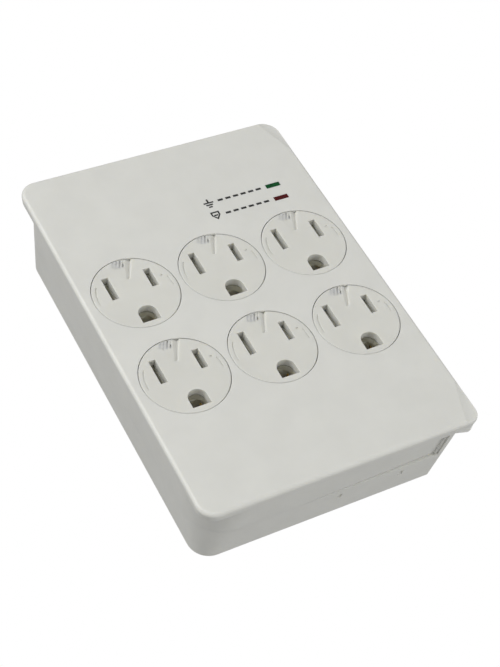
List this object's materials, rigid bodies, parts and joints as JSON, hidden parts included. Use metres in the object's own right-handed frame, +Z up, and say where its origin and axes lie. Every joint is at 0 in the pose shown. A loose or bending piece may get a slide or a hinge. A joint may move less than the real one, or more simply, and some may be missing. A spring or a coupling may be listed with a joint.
{
  "type": "plug-in surge protector",
  "caption": "Plug-in wall surge protector: drafted two-shell housing, twist-to-close safety discs over grounded outlets, two status lights and rear prongs.",
  "frame": {"origin": "on the flat back that lies against the wall, at the middle of the housing's width and height", "axes": "+Z up as it hangs on the wall, +X to the right seen from the front, -Y out of the face, +Y along the prongs into the wall"},
  "size_m": [0.0864, 0.0496, 0.1244],
  "materials": {
    "cover_plastic": "fine moulded texture, warm white",
    "disc_plastic": "smoother moulded plastic, warm white",
    "socket_plastic": "plain moulded, cream",
    "spring_steel": "stamped",
    "screw_steel": "zinc plated",
    "contact_brass": "stamped strip",
    "prong_brass": "drawn and tumbled",
    "board_laminate": "green solder mask",
    "varistor_epoxy": "dipped coating, blue",
    "fuse_case": "lacquered case",
    "capacitor_case": "moulded box, yellow",
    "resistor_epoxy": "lacquered, tan",
    "green_led_epoxy": "clear tinted",
    "red_led_epoxy": "clear tinted",
    "black_plastic": "moulded",
    "green_lens": "dark tinted, unlit",
    "red_lens": "dark tinted, unlit",
    "label_film": "silver film, blank"
  },
  "bodies": {
    "housing": {"board_jumpers": "contact_brass", "board_screws": "screw_steel", "circuit_board": "board_laminate", "cover_screws": "screw_steel", "disc_washers": "spring_steel", "filter_capacitor": "capacitor_case", "front_cover": "cover_plastic", "green_lens": "green_lens", "ground_bus": "contact_brass", "hot_bus": "contact_brass", "led_green": "green_led_epoxy", "led_holder": "black_plastic", "led_red": "red_led_epoxy", "neutral_bus": "contact_brass", "plug_ground_pin": "prong_brass", "plug_hot_blade": "prong_brass", "plug_neutral_blade": "prong_brass", "rating_label": "label_film", "rear_cover": "cover_plastic", "red_lens": "red_lens", "resistors": "resistor_epoxy", "socket_base_1": "socket_plastic", "socket_base_2": "socket_plastic", "socket_base_3": "socket_plastic", "socket_base_4": "socket_plastic", "socket_base_5": "socket_plastic", "socket_base_6": "socket_plastic", "thermal_fuse": "fuse_case", "varistor_1": "varistor_epoxy", "varistor_2": "varistor_epoxy", "varistor_3": "varistor_epoxy"},
    "disc_1": {"safety_disc_1": "disc_plastic", "disc_clip_1": "spring_steel"},
    "disc_2": {"safety_disc_2": "disc_plastic", "disc_clip_2": "spring_steel"},
    "disc_3": {"safety_disc_3": "disc_plastic", "disc_clip_3": "spring_steel"},
    "disc_4": {"safety_disc_4": "disc_plastic", "disc_clip_4": "spring_steel"},
    "disc_5": {"safety_disc_5": "disc_plastic", "disc_clip_5": "spring_steel"},
    "disc_6": {"safety_disc_6": "disc_plastic", "disc_clip_6": "spring_steel"}
  },
  "joints": [
    {"name": "disc_1_turn", "type": "hinge", "parent": "housing", "child": "disc_1", "pos_m": [-0.0274, -0.029, 0.01255], "axis": [0, 1, 0], "range_deg": [0, 60]},
    {"name": "disc_2_turn", "type": "hinge", "parent": "housing", "child": "disc_2", "pos_m": [0, -0.029, 0.01255], "axis": [0, 1, 0], "range_deg": [0, 60]},
    {"name": "disc_3_turn", "type": "hinge", "parent": "housing", "child": "disc_3", "pos_m": [0.0274, -0.029, 0.01255], "axis": [0, 1, 0], "range_deg": [0, 60]},
    {"name": "disc_4_turn", "type": "hinge", "parent": "housing", "child": "disc_4", "pos_m": [-0.0274, -0.029, -0.01875], "axis": [0, 1, 0], "range_deg": [0, 60]},
    {"name": "disc_5_turn", "type": "hinge", "parent": "housing", "child": "disc_5", "pos_m": [0, -0.029, -0.01875], "axis": [0, 1, 0], "range_deg": [0, 60]},
    {"name": "disc_6_turn", "type": "hinge", "parent": "housing", "child": "disc_6", "pos_m": [0.0274, -0.029, -0.01875], "axis": [0, 1, 0], "range_deg": [0, 60]}
  ]
}
